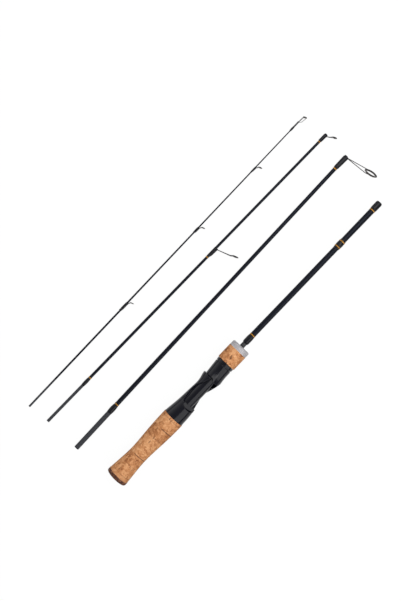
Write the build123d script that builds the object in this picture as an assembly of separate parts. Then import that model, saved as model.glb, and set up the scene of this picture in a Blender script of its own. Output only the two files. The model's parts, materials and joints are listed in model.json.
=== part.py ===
from build123d import *

import os
from math import cos, radians, sin

# A four-piece spinning rod, taken apart and laid out flat: the butt section with its cork grips
# and reel seat, and three blank sections beside it.  Millimetres, +Z up, all of it resting on
# Z = 0.  Each section is modelled along its own +X with its butt end at x = 0 and its line
# guides, or its reel deck, towards its own +Z.  It is then rolled and laid in its place.

# ---------------------------------------------------------------- fits and small parts
glue_gap = 0.02               # radial gap between pieces that are glued together
slip_gap = 0.15               # radial gap between pieces that slide or turn
face_gap = 0.4                # gap between end faces that turn against each other
ferrule_gap = 0.03            # radial gap of a section's spigot in its socket
trim_width = 1.5              # one band of gold trim thread
trim_rise = 0.2               # how far a trim band stands above what it is wound on
wrap_edge = 0.12              # thickness of a thread wrap where it runs out
wide_cut = 20.0               # half size of a cutting block that reaches past everything

# ---------------------------------------------------------------- rear grip
cap_length = 5.2
cap_radius = 14.6
cap_edge = 2.0
# (distance from the cap, radius) of the grip, waisted for the hand
cork_profile = [(0, 14.4), (16.4, 12.92), (36, 11.85), (56.4, 12.8), (76.4, 14.0), (100, 14.45)]
cork_ring_length = 15.0
cork_ring_count = 6           # full rings, between the two cut ones
first_ring_length = 4.9       # cut ring beside the cap
last_ring_length = 3.5        # cut ring beside the reel seat

# ---------------------------------------------------------------- reel seat
seat_length = 69.2
# In each of these three lists, a row starts with a distance from the seat's rear end, as a share
# of the seat's length, so that the whole outline stretches with the seat.
# (share, radius) of the moulded barrel that fills the palm
palm_profile = [(0, 14.2), (0.0723, 13.7), (0.1647, 12.95), (0.2659, 12.15), (0.3815, 11.45),
                (0.526, 10.9), (0.6705, 10.3), (0.7572, 10.05), (0.8671, 11.0), (0.9624, 12.6)]
# (share, centre above the axis, radius) of the fixed hood, which swells towards the reel
fixed_hood_profile = [(0, 0, 14.15), (0.0723, 0.2, 13.72), (0.1647, 0.7, 13.25),
                      (0.2659, 0.9, 12.54), (0.3584, 0.9, 11.95)]
# (share, height above the axis) of the side ledges that bare the deck, a saddle in side view
saddle_curve = [(0.2717, 13.8), (0.3064, 8.6), (0.341, 5.8), (0.3815, 3.2), (0.448, 1.2),
                (0.5202, -0.4), (0.5925, -1.7), (0.6647, -1.8), (0.7225, -0.2), (0.7803, 2.4),
                (0.8454, 5.2), (0.9249, 8.2), (1.0116, 9.8)]
flange_radius = 12.75
flange_edge = 0.9             # how far the flange's front edge is rounded off
flange_step = 0.4             # how steeply the barrel meets the flange
deck_radius = 7.9             # the round deck that the reel foot lies on
pad_height = 8.2              # flat floor in the mouth of the fixed hood
pad_front_share = 0.3584      # where that floor ends, as a share of the seat's length
pocket_radius = 10.9
pocket_rise = 0.8             # the hood's inner circle above the axis
pocket_end_share = 0.1156     # the pocket's far end, as a share of the seat's length
channel_start_share = 0.7225  # where the way for the reel foot starts
channel_half_width = 7.6      # way through the front flange for the reel foot
seat_bore_radius = 5.4
sleeve_length = 21.6          # smooth length that the moving hood slides on
sleeve_half_width = 7.7       # across the two flats that keep the hood from turning
thread_radius = 7.4
thread_length = 22.0
seat_roll = 32.0              # how far the reel deck is rolled from straight up

# ---------------------------------------------------------------- moving hood
hood_length = 24.5
hood_rear_radius = 11.85
hood_rear_rise = 3.1          # how far the hood's rear circle stands above the axis
hood_middle_radius = 11.6
hood_middle_rise = 0.8
hood_middle_x = 12.0
hood_front_radius = 12.4
hood_wall = 1.5
hood_pocket_length = 12.0
hood_lip_length = 3.4
hood_lip_half_width = 6.6
hood_groove_x = 19.6          # decorative groove, from the hood's rear edge
hood_groove_width = 1.3
hood_groove_radius = 11.25    # radius of the groove's floor
hood_scoop_floor = 2.0        # the scoop's floor, above the axis
hood_loft_lead = 0.5          # spare length behind the lip that the loft is cut back from

# ---------------------------------------------------------------- threaded foregrip
foregrip_radius = 13.0
foregrip_cork_length = 20.8
foregrip_cork_bore = 10.0
foregrip_edge = 0.5           # rounding of the cork's outer edges
end_ring_radius = 12.85
end_ring_length = 7.2
end_ring_chamfer = 1.4
end_ring_wall = 2.0
end_ring_bore = 4.9
nut_lip_radius = 10.0
nut_lip_length = 1.3
nut_neck_radius = 9.0
nut_neck_length = 1.7

# ---------------------------------------------------------------- butt blank
core_radius = 3.15            # tube inside the grips, and spigot of the next section
core_bore = 2.2
neck_length = 7.0             # bare tube between the foregrip and the first wrap
core_overlap = 22.0           # core tube glued into the butt blank
arbor_length = 26.0
rear_arbor_inset = 2.0        # from the seat's rear end
front_arbor_inset = 1.0       # from the threaded tube's end
butt_blank_length = 241.0
butt_blank_bore = 2.6
butt_socket_depth = 62.0

# ---------------------------------------------------------------- blank sections
lower_length = 500.0
lower_spigot_length = 60.7
lower_bore = 1.5
lower_socket_depth = 65.0
upper_length = 503.5
upper_spigot_length = 63.0
upper_spigot_radius = 1.95
upper_bore = 0.9
upper_socket_depth = 50.0
tip_length = 490.0
tip_spigot_length = 48.0
tip_spigot_radius = 1.3
tip_end_radius = 0.72

# ---------------------------------------------------------------- line guides
# height: ring centre above the blank's axis; reach: ring centre beyond the foot, towards the
# tip; lean: ring tilted towards the tip, in degrees; outer_radius: over the wire loop; wire and
# ring_wire: radius of the frame's wire, and half the ring's thickness; knee: where the legs
# bend, as (reach, half spread, height); join_angle: where they meet the loop, from its bottom.
ring_depth_share = 1.2        # the hard rings are this much deeper than they are thick
# The rest of a guide's frame, in parts of its wire's radius.
foot_half_share = 2.0         # half the width of the foot
foot_thin_share = 0.5         # thickness of the foot where it starts
foot_thick_share = 2.0        # thickness of the foot where the legs leave it
leg_share = 0.9               # radius of a leg
leg_root_share = 1.1          # how far each leg's root stands from the middle of the foot
leg_join_share = 0.8          # how far outside the loop's own circle a leg's end lies
knee_round_share = 4.0        # radius of the bend at the knee
ring_seat_share = 0.6         # how far the ring sinks into the loop
swell_width_share = 0.9       # half width of a wrap's swelling, in parts of the wrap's radius
lower_guide_sizes = dict(foot_length=13.0, height=40.0, reach=1.6, lean=9.0, outer_radius=8.9,
                         wire=0.55, ring_wire=0.95, knee=(0.2, 8.2, 30.8), join_angle=62.0)
middle_guide_sizes = dict(foot_length=12.0, height=25.2, reach=9.0, lean=22.0, outer_radius=4.6,
                          wire=0.46, ring_wire=0.7, knee=(5.8, 3.0, 19.8), join_angle=55.0)
front_guide_sizes = dict(foot_length=6.0, height=10.6, reach=5.4, lean=24.0, outer_radius=3.3,
                         wire=0.42, ring_wire=0.6, knee=(2.0, 0.9, 6.0), join_angle=50.0)
tip_guide_sizes = dict(foot_length=5.0, height=4.8, reach=3.4, lean=20.0, outer_radius=2.7,
                       wire=0.35, ring_wire=0.5, join_angle=45.0)
lower_guide_inset = 1.0       # the foot's end before the blank's end
middle_guide_share = 0.603    # the foot's end, as a share of the section's length
front_guide_inset = 1.8
tip_guide_shares = [0.3673, 0.6335, 0.8465]   # the same for the three guides of the tip section
tip_top_sizes = dict(foot_length=1.0, height=2.1, reach=8.9, lean=26.0, outer_radius=2.6,
                     wire=0.36, ring_wire=0.5, join_angle=50.0)
tip_top_tube_length = 13.0
tip_top_tube_radius = 1.05
tip_top_overlap = 9.0         # how far the blank's end goes into the tip-top's tube
tip_top_root_spread = 0.45    # how far the legs' roots stand from the tube's axis
tip_top_root_depth = 1.0      # how far the legs' roots go into the tube
tip_top_stay_bend = (1.8, 3.2)                # (beyond the tube, height) of the outer stay's bend

# ---------------------------------------------------------------- thread wraps
# (length, radius) of the wraps beside a spigot or a socket, which swell in an arc
middle_wrap = (13.6, 4.33)
middle_wrap_inset = 9.8       # the wrap's middle, before the floor of the butt socket
lower_bottom_wrap = (12.6, 3.7)
upper_bottom_wrap = (12.0, 2.45)
# The wraps over guide feet: length, radius, length of the sloping ends, and how high the
# swelling over the foot stands above the axis where it starts and where the legs come out.
lower_top_wrap = (19.4, 3.15, 1.2, 3.45, 4.15)
upper_middle_wrap = (15.0, 2.0, 1.2, 2.95, 3.45)
upper_top_wrap = (11.4, 2.35, 1.2, 2.4, 2.6)
tip_guide_wraps = [(14.0, 1.8, 3.5, 1.9, 2.15), (9.4, 1.5, 2.2, 1.85, 2.1),
                   (9.0, 1.15, 2.2, 1.35, 1.8)]
swell_lead_share = 0.24       # the swelling rises over this share of the wrap's length
tip_top_wrap_start = 3.5      # how far the last wrap starts before the tip-top's tube
tip_top_wrap_end = 5.5        # and how far it goes up the tube
tip_top_wrap_rise = 0.3
wrap_past_foot = 0.2          # how far a wrap goes past the guide's foot on a blank's end
middle_wrap_past_foot = 0.8
tip_wrap_past_foot = 0.4
first_wrap_start = -1.2       # (distance from the butt blank's start, radius) of its first wrap
first_wrap_profile = [(first_wrap_start, core_radius + 3 * wrap_edge), (0.8, 4.2), (6.8, 4.26),
                      (11.1, 4.0)]
first_wrap_round = 1.5
# (distance before the blank's end, radius) of the collar round the butt socket's mouth
collar_profile = [(12.0, 4.0), (10.5, 4.28), (1.4, 4.28), (0.5, 3.85)]
collar_round = 0.6
band_gap = 1.6                # from a wrap's end to the middle of the band beside it
inner_band_spread = 4.2       # the two bands on the butt blank's middle wrap, from its middle
inner_band_radius = 4.3

# ---------------------------------------------------------------- layout on the table
# Each row: where the butt end lies, how far the section is turned, how high its guides point.
butt_place, butt_turn = (-232.0, -75.7), 0.0
lower_place, lower_turn, lower_guide_lift = (-241.8, -14.7), 1.0, 25.0
upper_place, upper_turn, upper_guide_lift = (-242.7, 34.6), -0.36, 7.0
tip_place, tip_turn, tip_guide_lift = (-245.6, 64.3), 0.38, 11.0
lower_rest, upper_rest = 3.7, 2.5       # height of each section's axis over the table
tip_rest, tip_rise = 1.51, 0.097        # the tip section is propped up by its tip-top, degrees

# ---------------------------------------------------------------- worked-out places
grip_x = cap_length
grip_length = first_ring_length + cork_ring_count * cork_ring_length + last_ring_length
seat_x = grip_x + grip_length
pad_front_x = pad_front_share * seat_length
pocket_end_x = pocket_end_share * seat_length
channel_start_x = channel_start_share * seat_length
sleeve_x = seat_x + seat_length
thread_x = sleeve_x + sleeve_length
hood_x = sleeve_x + face_gap
hood_front_x = hood_x + hood_length
foregrip_x = hood_front_x + face_gap
end_ring_x = foregrip_x + foregrip_cork_length
foregrip_end_x = end_ring_x + end_ring_length
butt_blank_x = foregrip_end_x + neck_length
butt_end_x = butt_blank_x + butt_blank_length
nut_x = hood_front_x - nut_neck_length - nut_lip_length
nut_end_x = foregrip_end_x - end_ring_wall

# (distance from the section's start, radius) of each blank, in straight tapers
butt_stations = [(0, 3.82), (0.104 * butt_blank_length, 3.72), (0.375 * butt_blank_length, 3.63),
                 (0.6875 * butt_blank_length, 3.63), (0.833 * butt_blank_length, 3.72),
                 (butt_blank_length, 3.8)]
lower_stations = [(0, core_radius), (lower_spigot_length, core_radius),
                  (lower_spigot_length + 10, 2.97), (0.38 * lower_length, 2.7),
                  (0.5 * lower_length, 2.5), (lower_length, 2.45)]
upper_stations = [(0, upper_spigot_radius), (upper_spigot_length, upper_spigot_radius),
                  (upper_spigot_length + 12, 1.98), (0.4 * upper_length, 1.88),
                  (0.64 * upper_length, 1.78), (upper_length, 1.75)]
tip_stations = [(0, tip_spigot_radius), (tip_spigot_length, tip_spigot_radius),
                (0.33 * tip_length, 1.24), (0.49 * tip_length, 1.11), (0.69 * tip_length, 0.96),
                (tip_length, tip_end_radius)]


# ================================================================ shape helpers
def side_face(edges):
    """A face in the plane y = 0 from edges drawn as (x, height)."""
    return Plane.XZ * make_face(edges)


def turned(edge):
    """The solid that an edge drawn as (x, radius) sweeps round the X axis."""
    start, end = edge @ 0, edge @ 1
    closing = Polyline((end.X, end.Y), (end.X, 0), (start.X, 0), (start.X, start.Y))
    return revolve(side_face(edge + closing), axis=Axis.X)


def turned_outline(points):
    """The ring or solid that a closed (x, radius) outline sweeps round the X axis."""
    return revolve(side_face(Polyline(*points, close=True)), axis=Axis.X)


def rod(start, end, radius):
    """A round bar along X."""
    bar = Cylinder(radius, end - start, align=(Align.CENTER, Align.CENTER, Align.MIN))
    return Pos(start, 0, 0) * Rot(0, 90, 0) * bar


def tube(start, end, outer, inner):
    return rod(start, end, outer) - rod(start - 1, end + 1, inner)


def block(x_range, y_range, z_range):
    """A box between two x, two y and two z values."""
    low = [limits[0] for limits in (x_range, y_range, z_range)]
    size = [limits[1] - limits[0] for limits in (x_range, y_range, z_range)]
    return Pos(*low) * Box(*size, align=(Align.MIN, Align.MIN, Align.MIN))


def circle_at(x, height, radius):
    """A circle across the X axis, for lofts."""
    return Plane(origin=(x, 0, height), x_dir=(0, 1, 0), z_dir=(1, 0, 0)) * Circle(radius)


def main_solid(shape):
    """The largest solid of a cut shape, without any sliver that the cut leaves."""
    return max(shape.solids(), key=lambda solid: solid.volume)


def numbered(name, shapes):
    """Nodes name_1, name_2 and so on."""
    return {f"{name}_{number}": shape for number, shape in enumerate(shapes, start=1)}


def radius_at(stations, x):
    """Radius of a straight-tapered blank at x."""
    for (x_low, r_low), (x_high, r_high) in zip(stations, stations[1:]):
        if x <= x_high:
            return r_low + (r_high - r_low) * (x - x_low) / (x_high - x_low)
    return stations[-1][1]


def moved_stations(stations, distance):
    return [(x + distance, radius) for x, radius in stations]


def along_seat(rows):
    """The rows of a seat outline, with the share at the start of each made a distance."""
    return [(row[0] * seat_length, *row[1:]) for row in rows]


# ================================================================ blanks, wraps and trim
def hollow_blank(stations, bore, socket_radius, socket_depth):
    """A tapered tube, with a wider parallel socket at its tip end."""
    end = stations[-1][0]
    blank = turned(Polyline(*stations)) - rod(stations[0][0] - 1, end, bore)
    return blank - rod(end - socket_depth, end + 1, socket_radius)


def bulge_wrap(start, end, top_radius, stations):
    """A thread wrap that swells in an arc over the place where a spigot's shoulder sits."""
    arc = ThreePointArc((start, radius_at(stations, start) + wrap_edge),
                        ((start + end) / 2, top_radius),
                        (end, radius_at(stations, end) + wrap_edge))
    return turned(arc) - turned(Polyline(*stations))


def trim_band(middle, outer_radius, *under):
    """One band of trim thread wound over the pieces that lie under it."""
    band = rod(middle - trim_width / 2, middle + trim_width / 2, outer_radius)
    for piece in under:
        band -= piece
    return band


def blank_bands(middles, stations):
    """Trim bands wound straight on a blank."""
    bands = []
    for middle in middles:
        start, end = middle - trim_width / 2, middle + trim_width / 2
        seat = max(radius_at(stations, start), radius_at(stations, end)) + glue_gap
        bands.append(tube(start, end, seat + trim_rise, seat))
    return bands


# ================================================================ line guides
class Guide:
    """A single-foot wire guide: a foot under a wrap, two legs, a wire loop and its ring."""

    def __init__(self, foot_end, foot_length, height, reach, lean, outer_radius, wire, ring_wire,
                 join_angle, knee=None):
        self.foot_end = foot_end            # x where the legs leave the blank
        self.foot_length = foot_length
        self.height = height
        self.reach = reach
        self.lean = lean
        self.wire = wire
        self.ring_wire = ring_wire
        self.knee = knee
        self.join_angle = join_angle
        self.loop_radius = outer_radius - wire
        self.ring_radius = self.loop_radius - ring_seat_share * wire - ring_wire

    def in_ring_plane(self, shape):
        """Put a shape made about Z at the ring's centre, across the line's path."""
        return Pos(self.foot_end + self.reach, 0, self.height) * Rot(0, 90 + self.lean, 0) * shape

    def loop_point(self, side, angle):
        """Where a wire meets the outside of the loop, at an angle up from its bottom."""
        radius = self.loop_radius + leg_join_share * self.wire
        down, across = radius * cos(radians(angle)), radius * sin(radians(angle)) * side
        lean = radians(self.lean)
        return (self.foot_end + self.reach - down * sin(lean), across,
                self.height - down * cos(lean))

    def foot(self, stations, grow=0.0):
        """The flat foot, which thins towards its end and straddles the blank."""
        start = self.foot_end - self.foot_length
        seat = radius_at(stations, start)
        thin = seat + foot_thin_share * self.wire + grow
        thick = seat + foot_thick_share * self.wire + grow
        outline = Polyline((start - grow, seat / 2), (self.foot_end, seat / 2),
                           (self.foot_end, thick), (start - grow, thin), close=True)
        half_width = foot_half_share * self.wire + grow
        plate = extrude(side_face(outline), amount=half_width, both=True)
        return plate - turned(Polyline(*stations))

    def wire_along(self, path, grow=0.0):
        """The leg's wire along a path."""
        section = Plane(origin=path @ 0, z_dir=path % 0) * Circle(leg_share * self.wire + grow)
        return sweep(section, path=path)

    def leg(self, stations, side, grow=0.0):
        """One leg, from inside the foot to the wire loop."""
        seat = radius_at(stations, self.foot_end)
        spread = leg_root_share * self.wire * side
        start = (self.foot_end - self.wire, spread, seat + self.wire)
        end = self.loop_point(side, self.join_angle)
        if self.knee is None:
            path = Line(start, end)
        else:
            reach, half_spread, height = self.knee
            bend = (self.foot_end + reach, half_spread * side, height)
            path = FilletPolyline(start, bend, end, radius=knee_round_share * self.wire)
        return self.wire_along(path, grow)

    def frame(self, stations):
        """The whole wire frame: foot, legs and loop."""
        loop = self.in_ring_plane(Torus(self.loop_radius, self.wire))
        return self.foot(stations) + self.leg(stations, -1) + self.leg(stations, 1) + loop

    def bedded_in(self, wrap, stations):
        """A thread wrap, with room left in it for the foot and the legs' roots."""
        wrap -= self.foot(stations, glue_gap)
        for side in (-1, 1):
            wrap -= self.leg(stations, side, glue_gap)
        return wrap

    def ring(self):
        """The hard ring that the line runs on, seated in the wire loop."""
        groove = self.in_ring_plane(Torus(self.loop_radius, self.wire + glue_gap))
        section = Plane.XZ * Pos(self.ring_radius, 0) * Ellipse(self.ring_wire,
                                                                ring_depth_share * self.ring_wire)
        return main_solid(self.in_ring_plane(revolve(section, axis=Axis.Z)) - groove)


def guide_wrap(guide, end, sizes, stations):
    """A wrap that binds a guide's foot: a level wrap, swollen over the foot."""
    length, radius, ramp, low, high = sizes
    start = end - length
    width = swell_width_share * radius
    seat = radius_at(stations, start) - width
    swelling = loft([circle_at(start + wrap_edge, seat, width),
                     circle_at(start + swell_lead_share * length, low - width, width),
                     circle_at(end, high - width, width)], ruled=True)
    level = turned(FilletPolyline((start, radius_at(stations, start) + wrap_edge),
                                  (start + ramp, radius), (end - ramp, radius),
                                  (end, radius_at(stations, end) + wrap_edge), radius=ramp))
    return guide.bedded_in(level + swelling - turned(Polyline(*stations)), stations)


# ================================================================ butt section
def cork_envelope():
    """The whole rear grip, waisted for the hand, before it is cut into rings."""
    edge = Spline(*moved_stations(cork_profile, grip_x), tangents=((1, -0.08), (1, 0)))
    return turned(edge) - rod(grip_x - 1, seat_x + 1, core_radius + glue_gap)


def cork_rings():
    """The rear grip's cork rings, from the cap to the reel seat."""
    grip = cork_envelope()
    lengths = [first_ring_length] + [cork_ring_length] * cork_ring_count + [last_ring_length]
    wide = 2 * cap_radius
    rings, start = [], grip_x
    for length in lengths:
        rings.append(grip & block((start, start + length), (-wide, wide), (-wide, wide)))
        start += length
    return rings


def butt_cap():
    """The rounded end cap, with a blind seat for the core tube."""
    cap = rod(0, cap_length, cap_radius)
    cap = fillet(cap.edges().group_by(Axis.X)[0], cap_edge)
    return cap - rod(cap_length / 2, cap_length + 1, core_radius + glue_gap)


def deck_opening():
    """What is cut from the seat to bare the reel deck: a saddle seen from the side."""
    points = along_seat(saddle_curve)
    first, last = points[0], points[-1]
    saddle = Spline(*points)
    top = Polyline(last, (last[0], wide_cut), (first[0], wide_cut), first)
    opening = extrude(side_face(saddle + top), amount=wide_cut, both=True)
    channel = block((channel_start_x, seat_length + 1),
                    (-channel_half_width, channel_half_width), (0, wide_cut))
    pad = block((0, pad_front_x), (-wide_cut, wide_cut), (-wide_cut, pad_height))
    return opening + channel - rod(-1, seat_length + 2, deck_radius) - pad


def fixed_pocket():
    """The space under the fixed hood that takes one end of the reel foot."""
    space = Pos(0, 0, pocket_rise) * rod(pocket_end_x, pad_front_x, pocket_radius)
    return space & block((0, seat_length), (-wide_cut, wide_cut), (pad_height, wide_cut))


def reel_seat_body():
    """The moulded seat: fixed hood, reel deck, front flange, sleeve and threaded tube."""
    palm = along_seat(palm_profile)
    edge = Spline(*palm, tangents=((1, -0.07), (1, 0.15)))
    rim = Polyline(palm[-1], (palm[-1][0] + flange_step, flange_radius),
                   (seat_length - flange_edge, flange_radius),
                   (seat_length, flange_radius - flange_edge))
    barrel = turned(edge + rim)
    barrel += loft([circle_at(*row) for row in along_seat(fixed_hood_profile)])
    body = barrel - deck_opening() - fixed_pocket()
    flats = block((0, 2 * seat_length), (-sleeve_half_width, sleeve_half_width),
                  (-wide_cut, wide_cut))
    body += rod(seat_length - 1, seat_length + sleeve_length, deck_radius) & flats
    body += rod(seat_length, seat_length + sleeve_length + thread_length, thread_radius)
    body -= rod(-1, seat_length + sleeve_length + thread_length + 1, seat_bore_radius)
    return Pos(seat_x, 0, 0) * body


def hood_outer(inset, start, end):
    """The hood's outer shape, or its inside at an inset, between two distances."""
    rise_slope = (hood_rear_rise - hood_middle_rise) / hood_middle_x
    sections = []
    for x in (start, (start + end) / 2, end):
        if x <= hood_middle_x:
            share = x / hood_middle_x
            rise = hood_rear_rise - rise_slope * x
            radius = hood_rear_radius + (hood_middle_radius - hood_rear_radius) * share
        else:
            share = (x - hood_middle_x) / (hood_length - hood_middle_x)
            rise = hood_middle_rise * (1 - share)
            radius = hood_middle_radius + (hood_front_radius - hood_middle_radius) * share
        sections.append(circle_at(x, rise, radius - inset))
    return loft(sections)


def moving_hood():
    """The sliding hood: a scoop towards the reel, a plain collar towards the foregrip."""
    outer = hood_outer(0, -hood_lip_length - hood_loft_lead, hood_length)
    lip = extrude(Ellipse(hood_lip_length, hood_lip_half_width), amount=wide_cut)
    lip &= block((-wide_cut, wide_cut), (-wide_cut, wide_cut), (deck_radius + slip_gap, wide_cut))
    hood = outer - (block((-wide_cut, 0), (-wide_cut, wide_cut), (-wide_cut, wide_cut)) - lip)
    scoop = hood_outer(hood_wall, -hood_lip_length - 2 * hood_loft_lead, hood_pocket_length)
    hood -= scoop & block((-wide_cut, hood_pocket_length), (-wide_cut, wide_cut),
                          (hood_scoop_floor, wide_cut))
    sleeve = rod(-wide_cut, hood_length + 1, deck_radius + slip_gap)
    half = sleeve_half_width + slip_gap
    hood -= sleeve & block((-wide_cut, hood_length), (-half, half), (-wide_cut, wide_cut))
    nut_room_x = hood_length - nut_neck_length - nut_lip_length - slip_gap
    hood -= rod(nut_room_x, hood_length - nut_neck_length + slip_gap, nut_lip_radius + slip_gap)
    hood -= rod(nut_room_x, hood_length + 1, nut_neck_radius + slip_gap)
    groove = rod(hood_groove_x, hood_groove_x + hood_groove_width, 2 * hood_front_radius)
    groove -= rod(0, hood_length, hood_groove_radius)
    return Pos(hood_x, 0, 0) * (hood - groove)


def foregrip_nut():
    """The threaded insert inside the foregrip, snapped into the hood by its lip."""
    inner = thread_radius + slip_gap
    outer = foregrip_cork_bore - glue_gap
    neck_x = nut_x + nut_lip_length
    return turned_outline([(nut_x, inner), (nut_x, nut_lip_radius), (neck_x, nut_lip_radius),
                           (neck_x, nut_neck_radius), (foregrip_x, nut_neck_radius),
                           (foregrip_x, outer), (nut_end_x - glue_gap, outer),
                           (nut_end_x - glue_gap, inner)])


def foregrip_cork():
    cork = tube(foregrip_x, end_ring_x - glue_gap, foregrip_radius, foregrip_cork_bore)
    return fillet(cork.edges().filter_by(GeomType.CIRCLE).group_by(SortBy.RADIUS)[-1],
                  foregrip_edge)


def foregrip_end_ring():
    """The aluminium end ring, bevelled in front and hollow behind."""
    end = foregrip_end_x
    return turned_outline([(end_ring_x, foregrip_cork_bore), (end_ring_x, end_ring_radius),
                           (end - end_ring_chamfer, end_ring_radius),
                           (end, end_ring_radius - end_ring_chamfer), (end, end_ring_bore),
                           (end - end_ring_wall, end_ring_bore),
                           (end - end_ring_wall, foregrip_cork_bore)])


def butt_section():
    """Every piece of the butt section, by node name, along its own X."""
    pieces = {"butt_cap": butt_cap()} | numbered("cork_ring", cork_rings())
    core_end = butt_blank_x + core_overlap
    pieces["handle_core"] = tube(cap_length / 2 + glue_gap, core_end, core_radius, core_bore)
    arbor_outer, arbor_inner = seat_bore_radius - glue_gap, core_radius + glue_gap
    seat_end = thread_x + thread_length
    rear_start = seat_x + rear_arbor_inset
    front_end = seat_end - front_arbor_inset
    pieces["rear_arbor"] = tube(rear_start, rear_start + arbor_length, arbor_outer, arbor_inner)
    pieces["front_arbor"] = tube(front_end - arbor_length, front_end, arbor_outer, arbor_inner)
    pieces["reel_seat_body"] = reel_seat_body()
    pieces["moving_hood"] = moving_hood()
    pieces["foregrip_nut"] = foregrip_nut()
    pieces["foregrip_cork"] = foregrip_cork()
    pieces["foregrip_end_ring"] = foregrip_end_ring()

    stations = moved_stations(butt_stations, butt_blank_x)
    envelope = turned(Polyline(*stations))
    socket = core_radius + ferrule_gap
    blank = hollow_blank(stations, butt_blank_bore, socket, butt_socket_depth)
    blank -= rod(butt_blank_x - 1, core_end + glue_gap, core_radius + glue_gap)
    pieces["butt_blank"] = blank

    first_edge = FilletPolyline(*moved_stations(first_wrap_profile, butt_blank_x),
                                radius=first_wrap_round)
    first_wrap = turned(first_edge) - envelope - rod(0, core_end, core_radius + glue_gap)
    pieces["butt_wrap_first"] = first_wrap
    middle_x = butt_end_x - butt_socket_depth - middle_wrap_inset
    half = middle_wrap[0] / 2
    middle = bulge_wrap(middle_x - half, middle_x + half, middle_wrap[1], stations)
    pieces["butt_wrap_middle"] = middle
    collar_edge = FilletPolyline(*[(butt_end_x - x, radius) for x, radius in collar_profile],
                                 radius=collar_round)
    pieces["butt_socket_collar"] = turned(collar_edge) - envelope
    bands = [trim_band(middle_x + side * inner_band_spread, inner_band_radius, envelope, middle)
             for side in (-1, 1)]
    first_band = butt_blank_x + first_wrap_profile[-1][0] + trim_width
    last_band = butt_end_x - collar_profile[0][0] - trim_width
    bands += blank_bands((first_band, last_band), stations)
    return pieces | numbered("butt_trim_band", bands)


# ================================================================ three blank sections
def lower_section():
    """The section that plugs into the butt section, with the tall first guide at its tip."""
    stations = lower_stations
    guide = Guide(lower_length - lower_guide_inset, **lower_guide_sizes)
    bottom_x, bottom_end = lower_spigot_length, lower_spigot_length + lower_bottom_wrap[0]
    top_end = guide.foot_end + wrap_past_foot
    top_x = top_end - lower_top_wrap[0]
    pieces = {}
    pieces["lower_blank"] = hollow_blank(stations, lower_bore, upper_spigot_radius + ferrule_gap,
                                         lower_socket_depth)
    pieces["lower_wrap_bottom"] = bulge_wrap(bottom_x, bottom_end, lower_bottom_wrap[1], stations)
    pieces["lower_wrap_top"] = guide_wrap(guide, top_end, lower_top_wrap, stations)
    pieces |= numbered("lower_trim_band", blank_bands((bottom_end + band_gap, top_x - band_gap),
                                                      stations))
    pieces["lower_guide_frame"] = guide.frame(stations)
    pieces["lower_guide_ring"] = guide.ring()
    return pieces


def upper_section():
    """The third section, with two smaller guides."""
    stations = upper_stations
    middle = Guide(middle_guide_share * upper_length, **middle_guide_sizes)
    front = Guide(upper_length - front_guide_inset, **front_guide_sizes)
    bottom_x, bottom_end = upper_spigot_length, upper_spigot_length + upper_bottom_wrap[0]
    middle_end = middle.foot_end + middle_wrap_past_foot
    middle_x = middle_end - upper_middle_wrap[0]
    top_end = upper_length - tip_wrap_past_foot
    top_x = top_end - upper_top_wrap[0]
    pieces = {}
    pieces["upper_blank"] = hollow_blank(stations, upper_bore, tip_spigot_radius + ferrule_gap,
                                         upper_socket_depth)
    pieces["upper_wrap_bottom"] = bulge_wrap(bottom_x, bottom_end, upper_bottom_wrap[1], stations)
    pieces["upper_wrap_middle"] = guide_wrap(middle, middle_end, upper_middle_wrap, stations)
    pieces["upper_wrap_top"] = guide_wrap(front, top_end, upper_top_wrap, stations)
    pieces |= numbered("upper_trim_band", blank_bands((bottom_end + band_gap, middle_x - band_gap,
                                                       top_x - band_gap), stations))
    pieces["upper_guide_frame_1"] = middle.frame(stations)
    pieces["upper_guide_ring_1"] = middle.ring()
    pieces["upper_guide_frame_2"] = front.frame(stations)
    pieces["upper_guide_ring_2"] = front.ring()
    return pieces


def tip_top():
    """The tip-top: a tube on the blank's end, two legs and an outer stay to the last ring."""
    top = Guide(tip_length - tip_top_overlap + tip_top_tube_length, **tip_top_sizes)
    end = top.foot_end
    barrel = rod(end - tip_top_tube_length, end, tip_top_tube_radius)
    barrel -= rod(0, tip_length + glue_gap, tip_end_radius + glue_gap)
    frame = barrel + top.in_ring_plane(Torus(top.loop_radius, top.wire))
    crown = top.loop_point(0, 180)
    root_x, spread = end - tip_top_root_depth, tip_top_root_spread
    paths = [Line((root_x, spread * side, 0), top.loop_point(side, top.join_angle))
             for side in (-1, 1)]
    bend = (end + tip_top_stay_bend[0], 0, tip_top_stay_bend[1])
    paths.append(FilletPolyline((root_x, 0, spread), bend, crown,
                                radius=knee_round_share * top.wire))
    for path in paths:
        frame += top.wire_along(path)
    return frame, top.ring()


def tip_section():
    """The thin solid tip section, with three low guides and the tip-top."""
    stations = tip_stations
    pieces = {}
    pieces["tip_blank"] = turned(Polyline(*stations))
    for number, (share, wrap) in enumerate(zip(tip_guide_shares, tip_guide_wraps), 1):
        guide = Guide(share * tip_length, **tip_guide_sizes)
        end = guide.foot_end + tip_wrap_past_foot
        pieces[f"tip_wrap_{number}"] = guide_wrap(guide, end, wrap, stations)
        pieces[f"tip_guide_frame_{number}"] = guide.frame(stations)
        pieces[f"tip_guide_ring_{number}"] = guide.ring()
    frame, ring = tip_top()
    pieces["tip_top_frame"] = frame
    pieces["tip_top_ring"] = ring
    tube_start = tip_length - tip_top_overlap
    wrap = bulge_wrap(tube_start - tip_top_wrap_start, tube_start + tip_top_wrap_end,
                      tip_top_tube_radius + tip_top_wrap_rise, stations)
    pieces["tip_top_wrap"] = wrap - rod(tube_start - glue_gap, tip_length + 1,
                                        tip_top_tube_radius + glue_gap)
    return pieces


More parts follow.
